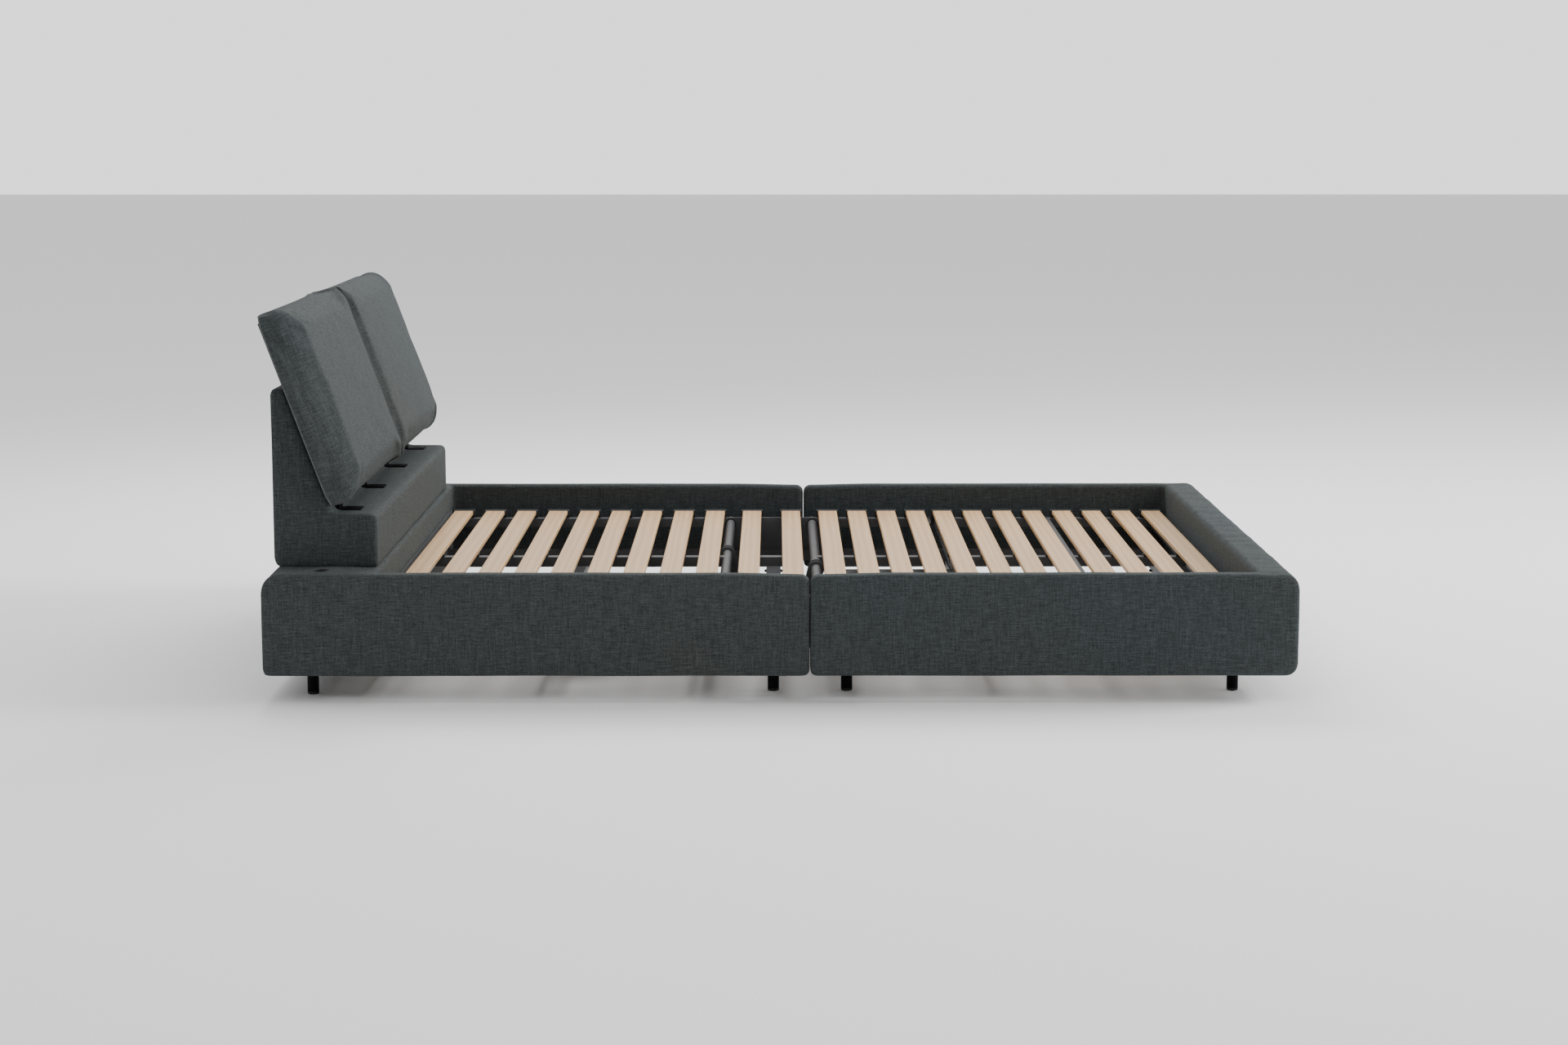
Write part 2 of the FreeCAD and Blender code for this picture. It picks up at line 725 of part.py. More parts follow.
def make_slats(section, layout):
    slats = []
    holders = []
    for station in spaced(layout):
        half = slat_width / 2
        slat = block(station - half, station + half, -slat_half_length, slat_half_length,
                     slat_bottom, slat_bottom + slat_thickness)
        long_edges = [e for e in slat.Edges if e.BoundBox.YLength > slat_half_length]
        slat = slat.makeFillet(slat_edge_radius, long_edges)
        shoulder = slat_half_length - slat_tongue
        rebate = block(station - half, station + half, shoulder, slat_half_length,
                       slat_bottom + slat_tongue_thickness, slat_bottom + slat_thickness)
        slats.append(cut_all(slat, both_sides([rebate])))
        holder = block(station - holder_width / 2, station + holder_width / 2,
                       holder_outer_y - holder_length, holder_outer_y, frame_top, holder_top)
        pocket = block(station - half - holder_play, station + half + holder_play, 0,
                       slat_half_length + holder_wall, slat_bottom,
                       slat_bottom + slat_tongue_thickness + holder_play)
        rim = [e for e in holder.Edges if e.BoundBox.ZMin > holder_top - 1]
        holder = holder.makeFillet(holder_edge_radius, rim).cut(pocket)
        holders += both_sides([holder])
        holders.append(block(station - half, station + half, -frame_width / 2, frame_width / 2,
                             frame_top, slat_bottom))
    export(section + "_slats", slats)
    export(section + "_slat_holders", holders)


def make_back_section():
    first = back_head_station + frame_width / 2
    frame = long_tubes(back_head_station, back_pivot, back_pivot)
    frame += half_cross_tubes((first,) + back_cross_stations)
    export("back_frame", frame)
    levers = lever_plates(back_pivot, drive_y, back_lever_angle)
    export("back_torsion_tube", [torsion_tube(back_pivot)] + levers)
    make_slats("back", back_slats)


def make_seat_section():
    s0, s1 = seat_cross_stations()
    half = frame_width / 2
    frame = long_tubes(s0 - half, s1 + half)
    frame += half_cross_tubes((s0, s1))
    export("seat_frame", frame)
    make_slats("seat", seat_slats)


def make_thigh_section():
    end = knee_pivot - knee_gap
    frame = long_tubes(thigh_pivot, end, thigh_pivot)
    frame += half_cross_tubes((end - frame_width / 2,))
    face = frame_y + frame_width / 2
    plate = block(end - ear_root, knee_pivot, face, face + ear, pivot_height - ear_radius,
                  pivot_height + ear_radius)
    tip = round_y(ear_radius, knee_pivot, pivot_height, face, face + ear)
    bore = round_y(knee_pin_radius + running_fit, knee_pivot, pivot_height, 0, half_width)
    frame += both_sides([plate.fuse(tip).removeSplitter().cut(bore)])
    export("thigh_frame", frame)
    levers = lever_plates(thigh_pivot, -drive_y, thigh_lever_angle)
    export("thigh_torsion_tube", [torsion_tube(thigh_pivot)] + levers)
    make_slats("thigh", thigh_slats)
    outer = face + 2 * ear + ear_play
    pin = round_y(knee_pin_radius, knee_pivot, pivot_height, face - 5, outer + 4)
    heads = [round_y(knee_pin_head, knee_pivot, pivot_height, face - 5, face),
             round_y(knee_pin_head, knee_pivot, pivot_height, outer + ear_play, outer + 4)]
    export("knee_pins", both_sides([pin.fuse(heads).removeSplitter()]))


def make_calf_section():
    start = knee_pivot + knee_gap
    last = calf_foot_station - frame_width / 2
    frame = long_tubes(start, calf_foot_station)
    frame += half_cross_tubes((start + frame_width / 2, calf_cross_station, last))
    face = frame_y + frame_width / 2
    inner = face + ear + ear_play
    low = pivot_height - ear_radius
    high = pivot_height + ear_radius
    plate = block(knee_pivot, start + ear_root, inner, inner + ear, low, high)
    tip = round_y(ear_radius, knee_pivot, pivot_height, inner, inner + ear)
    spacer = block(start + 10, start + ear_root, face, inner, low, high)
    bore = round_y(knee_pin_radius + running_fit, knee_pivot, pivot_height, 0, half_width)
    frame += both_sides([plate.fuse([tip, spacer]).removeSplitter().cut(bore)])
    export("calf_frame", frame)
    make_slats("calf", calf_slats)
    hub = deck_rail_top + glide_play + glide_radius
    y0 = deck_rail_y - glide_half_width
    y1 = deck_rail_y + glide_half_width
    stem = block(last - glide_radius, last + glide_radius, y0, y1, hub, frame_bottom)
    shoe = round_y(glide_radius, last, hub, y0, y1)
    export("calf_glides", both_sides([stem.fuse(shoe).removeSplitter()]))


# ---- drives ----------------------------------------------------------------------------------
def rod_pin_station(pivot, angle):
    return pivot + rod_drop * math.tan(math.radians(angle))


def push_rod(pivot, angle, y, toward, reach):
    """Rod, eye and cross pin; toward is +1 where the housing lies to the foot of the pin."""
    pin_station = rod_pin_station(pivot, angle)
    ends = sorted((pin_station + toward * eye_half, pin_station + toward * reach))
    rod = round_x(rod_radius, ends[0], ends[1], y, rod_height)
    eye = block(pin_station - eye_half, pin_station + eye_half, y - eye_half, y + eye_half,
                rod_height - eye_half, rod_height + eye_half)
    upright = [e for e in eye.Edges if e.BoundBox.YLength > eye_half]
    eye = eye.makeFillet(eye_radius, upright)
    pin = round_y(cross_pin_radius, pin_station, rod_height, y - cross_pin_half, y + cross_pin_half)
    outer = eye_half + lever_play + lever_plate + lever_play
    heads = [round_y(cross_pin_head, pin_station, rod_height, y - cross_pin_half, y - outer),
             round_y(cross_pin_head, pin_station, rod_height, y + outer, y + cross_pin_half)]
    return rod.fuse([eye, pin] + heads).removeSplitter()


def drive_housing(mouth, toward, y, motor_side):
    """Gear and screw housing with a blind bore for the rod, and a block that takes the motor."""
    s0, s1 = sorted((mouth, mouth + toward * drive_length))
    low = rod_height - drive_half_height
    high = rod_height + drive_half_height
    body = block(s0, s1, y - drive_half_width, y + drive_half_width, low, high)
    long_edges = [e for e in body.Edges if e.BoundBox.XLength > drive_length - 1]
    body = body.makeFillet(housing_radius, long_edges)
    g0, g1 = sorted((mouth + toward * drive_length, mouth + toward * (drive_length - gearbox_length)))
    near = y + motor_side * (drive_half_width - 10)
    far = y + motor_side * (drive_half_width + 2 * motor_radius + 4)
    gearbox = block(g0, g1, min(near, far), max(near, far), low, high)
    upright = [e for e in gearbox.Edges if e.BoundBox.XLength > gearbox_length - 1]
    gearbox = gearbox.makeFillet(housing_radius, upright)
    b0, b1 = sorted((mouth, mouth + toward * rod_bore_depth))
    bore = round_x(rod_radius + running_fit, b0, b1, y, rod_height)
    return body.fuse(gearbox).removeSplitter().cut(bore)


def drive_motor(mouth, toward, y, motor_side):
    inner = mouth + toward * (drive_length - gearbox_length)
    m0, m1 = sorted((inner, inner - toward * motor_length))
    centre = y + motor_side * (drive_half_width + motor_radius + motor_gap)
    can = round_x(motor_radius, m0, m1, centre, rod_height)
    free_end = m0 if toward > 0 else m1
    flat = [e for e in can.Edges if e.BoundBox.XLength < 1]
    rim = [e for e in flat if abs(e.BoundBox.XMin - at(free_end)) < 0.01]
    return can.makeFillet(motor_rim_radius, rim)


def lead(points):
    """Round lead along points at one height, with an arc at each corner."""
    path = [Vector(at(s), y, lead_height) for s, y in points]
    edges = []
    start = path[0]
    for before, corner, after in zip(path, path[1:], path[2:]):
        incoming = (corner - before).normalize()
        outgoing = (after - corner).normalize()
        turn = incoming.getAngle(outgoing)
        setback = lead_bend * math.tan(turn / 2)
        first = corner - incoming * setback
        last = corner + outgoing * setback
        bisector = (outgoing - incoming).normalize()
        middle = corner + bisector * (lead_bend / math.cos(turn / 2) - lead_bend)
        edges.append(Part.LineSegment(start, first).toShape())
        edges.append(Part.Arc(first, middle, last).toShape())
        start = last
    edges.append(Part.LineSegment(start, path[-1]).toShape())
    spine = Part.Wire(edges)
    circle = Part.Circle(path[0], path[1] - path[0], lead_radius).toShape()
    return spine.makePipeShell([Part.Wire(circle)], True, True)


def make_drives():
    export("back_push_rod", [push_rod(back_pivot, back_lever_angle, drive_y, 1, back_rod_reach)])
    export("foot_push_rod", [push_rod(thigh_pivot, thigh_lever_angle, -drive_y, -1, foot_rod_reach)])
    export("back_drive_housing", [drive_housing(back_drive_mouth, 1, drive_y, -1)])
    export("foot_drive_housing", [drive_housing(foot_drive_mouth, -1, -drive_y, -1)])
    export("drive_motors", [drive_motor(back_drive_mouth, 1, drive_y, -1),
                            drive_motor(foot_drive_mouth, -1, -drive_y, -1)])


def make_electrics():
    s0, s1, y0, y1, z0, z1 = control_box
    box = block(s0, s1, y0, y1, z0, z1)
    upright = [e for e in box.Edges if e.BoundBox.ZLength > z1 - z0 - 1]
    box = box.makeFillet(housing_radius, upright)
    inlet_y = (y0 + y1) / 2
    inlet_z = (z0 + z1) / 2
    inlet = block(s0 - 1, s0 + inlet_depth, inlet_y - inlet_half_width, inlet_y + inlet_half_width,
                  inlet_z - inlet_half_height, inlet_z + inlet_half_height)
    export("control_box", [box.cut(inlet)])

    motor_offset = drive_half_width + motor_radius + motor_gap
    back_motor_y = drive_y - motor_offset
    foot_motor_y = -drive_y - motor_offset
    back_motor_end = back_drive_mouth + drive_length - gearbox_length - motor_length
    foot_motor_end = foot_drive_mouth - drive_length + gearbox_length + motor_length
    lead_y = y0 + lead_outlet_inset
    foot_lead_y = y1 - foot_lead_inset
    turn = foot_motor_end + foot_lead_loop
    leave, meet = lead_turn_stations
    leads = [
        lead(((s1, lead_y), (leave, lead_y), (meet, back_motor_y), (back_motor_end, back_motor_y))),
        lead(((s1, foot_lead_y), (turn, foot_lead_y), (turn, foot_motor_y),
              (foot_motor_end, foot_motor_y))),
    ]
    export("drive_leads", leads)
    clips = []
    for station in (deck_cross_stations[1], leg_places[1][0], leg_places[2][0]):
        clip = block(station - lead_clip_half, station + lead_clip_half, lead_y - lead_clip_half,
                     lead_y + lead_clip_half, cross_tube_top,
                     lead_height + lead_radius + lead_clip_cover)
        hole = round_x(lead_radius + running_fit, station - 20, station + 20, lead_y, lead_height)
        clips.append(clip.cut(hole))
    export("lead_clips", clips)


os.makedirs("parts", exist_ok=True)
make_base_box()
make_head_deck()
make_sockets()
make_headboard()
make_headrests()
make_legs()
make_cross_tubes()
make_deck_base()
make_back_section()
make_seat_section()
make_thigh_section()
make_calf_section()
make_drives()
make_electrics()
print("bed base written")
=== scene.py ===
import json
import math

import bmesh
import bpy
import numpy as np
from mathutils import Matrix, Vector, noise
from mathutils.bvhtree import BVHTree


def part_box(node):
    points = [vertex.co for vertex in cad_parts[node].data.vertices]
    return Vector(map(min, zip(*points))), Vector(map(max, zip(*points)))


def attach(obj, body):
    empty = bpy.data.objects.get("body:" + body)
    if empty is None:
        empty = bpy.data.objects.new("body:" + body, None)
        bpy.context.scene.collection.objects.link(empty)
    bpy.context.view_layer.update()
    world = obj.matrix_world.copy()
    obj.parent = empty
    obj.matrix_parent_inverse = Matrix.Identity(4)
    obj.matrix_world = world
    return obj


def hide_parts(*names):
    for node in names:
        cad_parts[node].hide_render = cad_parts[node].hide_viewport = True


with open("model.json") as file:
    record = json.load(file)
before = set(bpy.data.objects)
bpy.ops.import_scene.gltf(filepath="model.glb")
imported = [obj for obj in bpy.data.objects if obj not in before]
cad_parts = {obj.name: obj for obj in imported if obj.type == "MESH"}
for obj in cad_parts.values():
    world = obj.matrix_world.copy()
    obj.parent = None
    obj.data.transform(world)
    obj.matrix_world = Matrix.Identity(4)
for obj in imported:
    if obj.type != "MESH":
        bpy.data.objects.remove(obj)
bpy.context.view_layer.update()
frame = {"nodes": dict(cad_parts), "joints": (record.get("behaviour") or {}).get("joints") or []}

# Metres. +X runs to the foot end, +Y to the sleeper's left, +Z up.
NODES = frame["nodes"]
JOINTS = {joint["name"]: joint for joint in frame["joints"]}


# ---- camera, lights and floor ----------------------------------------------------
SENSOR_WIDTH = 36.0        # mm
LENS = 64.8                # mm
CAMERA_PLACE = (-0.0127, -7.242, 1.3603)
CAMERA_DOWN = 8.28         # degrees below level
CAMERA_PAN = -0.0032       # radians towards the foot end
WORLD_LIGHT = 0.95         # brightness of the surroundings as light
WORLD_SEEN = 1.7           # their brightness as a background
KEY_WATTS = 620
REAR_WATTS = 150
FLOOR_REACH = 40.0


def make_camera():
    """Side view from about 6.4 m, looking slightly down."""
    data = bpy.data.cameras.new("camera")
    data.sensor_width = SENSOR_WIDTH
    data.lens = LENS
    camera = bpy.data.objects.new("camera", data)
    camera.location = CAMERA_PLACE
    camera.rotation_euler = (math.radians(90 - CAMERA_DOWN), 0, CAMERA_PAN)
    bpy.context.scene.collection.objects.link(camera)
    bpy.context.scene.camera = camera


def make_area_light(name, location, target, size, energy):
    """Rectangular light that faces its target."""
    data = bpy.data.lights.new(name, "AREA")
    data.shape = "RECTANGLE"
    data.size, data.size_y = size
    data.energy = energy
    light = bpy.data.objects.new(name, data)
    light.location = location
    light.rotation_euler = (Vector(target) - Vector(location)).to_track_quat("-Z", "Y").to_euler()
    bpy.context.scene.collection.objects.link(light)


def make_lights():
    """Even white surroundings, a broad key from above the foot end and a softer light from behind."""
    world = bpy.data.worlds.new("studio")
    world.use_nodes = True
    tree = world.node_tree
    light = tree.nodes["Background"]
    light.inputs["Strength"].default_value = WORLD_LIGHT
    seen = tree.nodes.new("ShaderNodeBackground")
    seen.inputs["Strength"].default_value = WORLD_SEEN
    for shade in (light, seen):
        shade.inputs["Color"].default_value = (1, 1, 1, 1)
    pick = tree.nodes.new("ShaderNodeMixShader")
    tree.links.new(tree.nodes.new("ShaderNodeLightPath").outputs["Is Camera Ray"], pick.inputs[0])
    tree.links.new(light.outputs[0], pick.inputs[1])
    tree.links.new(seen.outputs[0], pick.inputs[2])
    tree.links.new(pick.outputs[0], tree.nodes["World Output"].inputs["Surface"])
    bpy.context.scene.world = world
    make_area_light("key_light", (7.0, 0.5, 4.0), (-0.2, 0, 0.5), (3.0, 3.0), KEY_WATTS)
    make_area_light("rear_light", (-0.5, 2.6, 3.6), (0, 0, 0.3), (3.4, 1.8), REAR_WATTS)


def make_stage():
    """Plain pale floor."""
    corners = [(x * FLOOR_REACH, y * FLOOR_REACH, 0) for x, y in ((-1, -1), (1, -1), (1, 1), (-1, 1))]
    mesh = bpy.data.meshes.new("floor")
    mesh.from_pydata(corners, [], [(0, 1, 2, 3)])
    floor = bpy.data.objects.new("floor", mesh)
    bpy.context.scene.collection.objects.link(floor)
    paint = Graph("floor_paint", 0.85)
    paint.set("Base Color", (0.93, 0.93, 0.93, 1))
    mesh.materials.append(paint.material)


# ---- materials ---------------------------------------------------------------------
class Graph:
    """A material under construction, with short calls for the nodes used here."""

    def __init__(self, name, roughness, metallic=0.0):
        self.material = bpy.data.materials.new(name)
        self.material.use_nodes = True
        self.tree = self.material.node_tree
        self.shader = self.tree.nodes["Principled BSDF"]
        self.set("Roughness", roughness)
        self.set("Metallic", metallic)

    def set(self, socket, value):
        if isinstance(value, bpy.types.NodeSocket):
            self.tree.links.new(value, self.shader.inputs[socket])
        else:
            self.shader.inputs[socket].default_value = value

    def feed(self, socket, value):
        if isinstance(value, bpy.types.NodeSocket):
            self.tree.links.new(value, socket)
        elif value is not None:
            socket.default_value = value

    def coords(self, output="Object"):
        return self.tree.nodes.new("ShaderNodeTexCoord").outputs[output]

    def split(self, vector):
        node = self.tree.nodes.new("ShaderNodeSeparateXYZ")
        self.feed(node.inputs[0], vector)
        return node.outputs

    def join(self, x, y, z):
        node = self.tree.nodes.new("ShaderNodeCombineXYZ")
        for socket, value in zip(node.inputs, (x, y, z)):
            self.feed(socket, value)
        return node.outputs[0]

    def math(self, operation, a, b=None):
        node = self.tree.nodes.new("ShaderNodeMath")
        node.operation = operation
        self.feed(node.inputs[0], a)
        self.feed(node.inputs[1], b)
        return node.outputs[0]

    def scaled(self, vector, scale):
        node = self.tree.nodes.new("ShaderNodeVectorMath")
        node.operation = "MULTIPLY"
        self.feed(node.inputs[0], vector)
        node.inputs[1].default_value = scale
        return node.outputs[0]

    def noise(self, vector, scale, detail=2.0, roughness=0.5):
        node = self.tree.nodes.new("ShaderNodeTexNoise")
        self.feed(node.inputs["Vector"], vector)
        node.inputs["Scale"].default_value = scale
        node.inputs["Detail"].default_value = detail
        node.inputs["Roughness"].default_value = roughness
        return node.outputs["Fac"]

    def ramp(self, value, *stops):
        node = self.tree.nodes.new("ShaderNodeValToRGB")
        self.feed(node.inputs[0], value)
        elements = node.color_ramp.elements
        while len(elements) < len(stops):
            elements.new(0.5)
        for element, (place, colour) in zip(elements, stops):
            element.position = place
            element.color = (*colour, 1)
        return node.outputs["Color"]

    def level(self, value, low, high):
        """Stretches value so that low to high covers 0 to 1."""
        node = self.tree.nodes.new("ShaderNodeMapRange")
        self.feed(node.inputs["Value"], value)
        node.inputs["From Min"].default_value = low
        node.inputs["From Max"].default_value = high
        return node.outputs["Result"]

    def mix(self, factor, a, b, blend="MIX"):
        node = self.tree.nodes.new("ShaderNodeMix")
        node.data_type = "RGBA"
        node.blend_type = blend
        self.feed(node.inputs[0], factor)
        self.feed(node.inputs[6], (*a, 1) if isinstance(a, tuple) else a)
        self.feed(node.inputs[7], (*b, 1) if isinstance(b, tuple) else b)
        return node.outputs[2]

    def bump(self, height, strength, distance):
        node = self.tree.nodes.new("ShaderNodeBump")
        self.feed(node.inputs["Height"], height)
        node.inputs["Strength"].default_value = strength
        node.inputs["Distance"].default_value = distance
        self.set("Normal", node.outputs[0])


def surface_uv(graph):
    """Flat coordinates in the plane that the surface faces most, so the weave follows each side."""
    x, y, z = graph.split(graph.coords("Object"))
    nx, ny, nz = [graph.math("ABSOLUTE", part) for part in graph.split(graph.coords("Normal"))]

    def greatest(part, other, another):
        over_one = graph.math("GREATER_THAN", part, other)
        over_two = graph.math("GREATER_THAN", part, another)
        return graph.math("MULTIPLY", over_one, over_two)

    def choose(switch, on, off):
        step = graph.math("MULTIPLY", switch, graph.math("SUBTRACT", on, off))
        return graph.math("ADD", off, step)

    faces_x = greatest(nx, ny, nz)
    faces_z = greatest(nz, nx, ny)

    return choose(faces_x, y, x), choose(faces_z, y, z)


def yarn_noise(graph, u, v, scale_u, scale_v, seed, detail=2.0):
    """Noise stretched along one direction of the weave."""
    place = graph.join(graph.math("MULTIPLY", u, scale_u), graph.math("MULTIPLY", v, scale_v), seed)
    return graph.noise(place, 1.0, detail)


YARN_PITCH = 0.0021
LINING_FREQUENCY = 4200.0      # radians of thread wave per metre


def fabric_material(name, dark, light, cool):
    """Two-tone basket weave: warp and weft of uneven yarn, in slightly different greys."""
    graph = Graph(name, 0.9)
    u, v = surface_uv(graph)
    wobble = graph.noise(graph.coords("Object"), 7.0, 1.0)
    across = graph.math("ADD", u, graph.math("MULTIPLY", wobble, 0.004))
    upward = graph.math("ADD", v, graph.math("MULTIPLY", wobble, 0.005))
    warp = graph.math("SINE", graph.math("MULTIPLY", across, math.pi / YARN_PITCH))
    weft = graph.math("SINE", graph.math("MULTIPLY", upward, math.pi / YARN_PITCH))
    cell = graph.math("MULTIPLY", warp, weft)
    checker = graph.level(cell, -0.4, 0.4)

    parts = (
        (checker, 0.22),
        (yarn_noise(graph, u, v, 24.0, 420.0, 0.0), 0.30),      # weft threads
        (yarn_noise(graph, u, v, 420.0, 24.0, 3.7), 0.24),      # warp threads
        (yarn_noise(graph, u, v, 55.0, 190.0, 9.1, 3.0), 0.14),  # slubs
        (yarn_noise(graph, u, v, 330.0, 330.0, 5.3), 0.30),      # knots
    )
    tone = 0.0
    for value, share in parts:
        tone = graph.math("ADD", graph.math("MULTIPLY", value, share), tone)
    tone = graph.level(tone, 0.46, 0.78)
    colour = graph.mix(tone, dark, light)
    patches = graph.level(graph.noise(graph.coords("Object"), 1.5, 1.0), 0.30, 0.70)
    colour = graph.mix(graph.math("MULTIPLY", patches, 0.5), colour, cool, "SOFT_LIGHT")
    graph.set("Base Color", colour)

    height = graph.math("ADD", graph.math("ABSOLUTE", cell), graph.math("MULTIPLY", tone, 0.8))
    graph.bump(height, 0.6, 0.0010)
    graph.set("Sheen Weight", 0.06)
    graph.set("Sheen Roughness", 0.5)
    graph.set("Sheen Tint", (0.80, 0.88, 0.86, 1))
    graph.set("Specular IOR Level", 0.15)
    return graph.material


def lining_material():
    """Black woven lining on the faces that stay out of sight."""
    graph = Graph("lining_cloth", 0.95)
    u, v = surface_uv(graph)
    warp, weft = [graph.math("SINE", graph.math("MULTIPLY", place, LINING_FREQUENCY)) for place in (u, v)]
    threads = graph.math("MULTIPLY", warp, weft)
    fibre = graph.noise(graph.coords("Object"), 240.0, 3.0)
    black, grey = (0.018, 0.019, 0.019), (0.045, 0.047, 0.047)
    graph.set("Base Color", graph.ramp(fibre, (0.3, black), (0.75, grey)))
    graph.bump(graph.math("ADD", threads, fibre), 0.35, 0.0006)
    graph.set("Sheen Weight", 0.2)
    return graph.material


def wood_material(name, pale, dark, grain=1.0):
    """Straight grain along Y, with fine pores and slow colour drift from board to board."""
    graph = Graph(name, 0.48)
    stretch = (34.0, 1.2, 34.0)
    base = graph.scaled(graph.coords("Object"), stretch)
    drift = graph.noise(base, 0.9 * grain, 3.0, 0.6)
    figure = graph.tree.nodes.new("ShaderNodeTexWave")
    figure.wave_type = "BANDS"
    figure.bands_direction = "X"
    graph.feed(figure.inputs["Vector"], base)
    figure.inputs["Scale"].default_value = 0.5 * grain
    figure.inputs["Distortion"].default_value = 9.0
    figure.inputs["Detail"].default_value = 3.0
    figure.inputs["Detail Scale"].default_value = 0.8
    pores = graph.noise(graph.scaled(graph.coords("Object"), tuple(10 * s for s in stretch)), 1.0, 2.0)
    figure_share = graph.math("MULTIPLY", figure.outputs["Fac"], 0.4)
    tone = graph.math("ADD", figure_share, graph.math("MULTIPLY", drift, 0.6))
    colour = graph.mix(tone, dark, pale)
    specks = graph.math("LESS_THAN", pores, 0.36)
    colour = graph.mix(graph.math("MULTIPLY", specks, 0.35), colour, dark)
    graph.set("Base Color", colour)
    graph.set("Roughness", graph.level(pores, -0.6, 1.9))
    graph.bump(graph.math("ADD", pores, graph.math("MULTIPLY", tone, 0.5)), 0.25, 0.0006)
    graph.set("Coat Weight", 0.15)
    graph.set("Coat Roughness", 0.35)
    return graph.material


def coated_material(name, colour, roughness, orange_peel, specular=0.25):
    """Powder coat or moulded plastic: fine texture, slightly uneven gloss."""
    graph = Graph(name, roughness)
    peel = graph.noise(graph.coords("Object"), 950.0, 2.0)
    cloud = graph.noise(graph.coords("Object"), 14.0, 3.0)
    lighter = tuple(c * 1.6 + 0.002 for c in colour)
    graph.set("Base Color", graph.mix(graph.math("MULTIPLY", cloud, 0.5), colour, lighter))
    gloss = graph.math("ADD", graph.math("MULTIPLY", graph.math("SUBTRACT", cloud, 0.5), 0.25), roughness)
    graph.set("Roughness", gloss)
    graph.bump(peel, orange_peel, 0.0004)
    graph.set("Specular IOR Level", specular)
    return graph.material


def zinc_material():
    """Bright zinc plate with a faint crystalline cloud and drawn lines."""
    graph = Graph("zinc_plate", 0.32, 1.0)
    cloud = graph.noise(graph.coords("Object"), 60.0, 3.0)
    lines = graph.noise(graph.scaled(graph.coords("Object"), (40.0, 900.0, 900.0)), 1.0, 2.0)
    graph.set("Base Color", graph.ramp(cloud, (0.3, (0.50, 0.51, 0.52)), (0.7, (0.68, 0.69, 0.70))))
    graph.set("Roughness", graph.level(graph.math("ADD", cloud, lines), -0.4, 3.0))
    graph.bump(lines, 0.12, 0.0003)
    return graph.material


def paint_nodes(material, *names):
    """Gives CAD nodes that stay visible their own finish."""
    for name in names:
        mesh = NODES[name].data
        mesh.materials.clear()
        mesh.materials.append(material)


# ---- mesh helpers --------------------------------------------------------------------
def rounded_outline(corners, steps=5):
    """Outline through (a, b, radius) corners, with an arc at each corner."""
    points = []
    count = len(corners)
    for index, (a, b, radius) in enumerate(corners):
        here = Vector((a, b))
        before = Vector(corners[index - 1][:2]) - here
        after = Vector(corners[(index + 1) % count][:2]) - here
        half = before.angle(after) / 2
        setback = radius / math.tan(half)
        centre = here + (before.normalized() + after.normalized()).normalized() * (radius / math.sin(half))
        first = here + before.normalized() * setback - centre
        last = here + after.normalized() * setback - centre
        sweep = first.angle_signed(last)
        for step in range(steps + 1):
            turn = Matrix.Rotation(-sweep * step / steps, 2)
            points.append(centre + turn @ first)
    return points


def prism(bm, outline, y0, y1, rims=()):
    """Extrudes an (x, z) outline from y0 to y1 and rounds the rims named as (y, radius)."""
    loop = [bm.verts.new((p[0], y0, p[1])) for p in outline]
    face = bm.faces.new(loop)
    grown = bmesh.ops.extrude_face_region(bm, geom=[face])
    moved = [item for item in grown["geom"] if isinstance(item, bmesh.types.BMVert)]
    bmesh.ops.translate(bm, vec=(0, y1 - y0, 0), verts=moved)
    mine = set(loop + moved)
    for y, radius in rims:
        edges = [e for e in bm.edges
                 if all(v in mine and abs(v.co.y - y) < 1e-6 for v in e.verts)]
        made = bmesh.ops.bevel(bm, geom=edges, offset=radius, segments=4, profile=0.5,
                               affect="EDGES", clamp_overlap=True)
        mine |= set(made["verts"])


def object_from(bm, name):
    """Turns a finished bmesh into an object in the scene."""
    bmesh.ops.recalc_face_normals(bm, faces=bm.faces)
    mesh = bpy.data.meshes.new(name)
    bm.to_mesh(mesh)
    bm.free()
    made = bpy.data.objects.new(name, mesh)
    bpy.context.scene.collection.objects.link(made)
    return made


def apply_modifiers(piece):
    """Bakes the piece's modifiers into its mesh."""
    graph = bpy.context.evaluated_depsgraph_get()
    baked = bpy.data.meshes.new_from_object(piece.evaluated_get(graph))
    old = piece.data
    piece.modifiers.clear()
    piece.data = baked
    bpy.data.meshes.remove(old)
    piece.data.name = piece.name


def add_remesh(piece):
    even = piece.modifiers.new("even", "REMESH")
    even.mode = "VOXEL"
    even.voxel_size = VOXEL


def soft_skin(piece):
    """One even skin of quads over everything in the piece, with softened corners."""
    add_remesh(piece)
    soften = piece.modifiers.new("soften", "SMOOTH")
    soften.factor = 0.5
    soften.iterations = 3
    apply_modifiers(piece)
    shade_smooth(piece)


def shade_smooth(piece):
    piece.data.polygons.foreach_set("use_smooth", [True] * len(piece.data.polygons))


def subtract(piece, tool):
    """Cuts the tool's shape out of the piece and removes the tool."""
    cut = piece.modifiers.new("cut", "BOOLEAN")
    cut.object = tool
    cut.operation = "DIFFERENCE"
    cut.solver = "EXACT"
    apply_modifiers(piece)
    bpy.data.objects.remove(tool)
    shade_smooth(piece)


def read_vertices(piece, field):
    flat = np.empty(len(piece.data.vertices) * 3, np.float64)
    piece.data.vertices.foreach_get(field, flat)
    return flat.reshape(-1, 3)


def read_points(piece):
    return read_vertices(piece, "co")


def read_normals(piece):
    return read_vertices(piece, "normal")


def write_points(piece, points):
    piece.data.vertices.foreach_set("co", points.reshape(-1))
    piece.data.update()


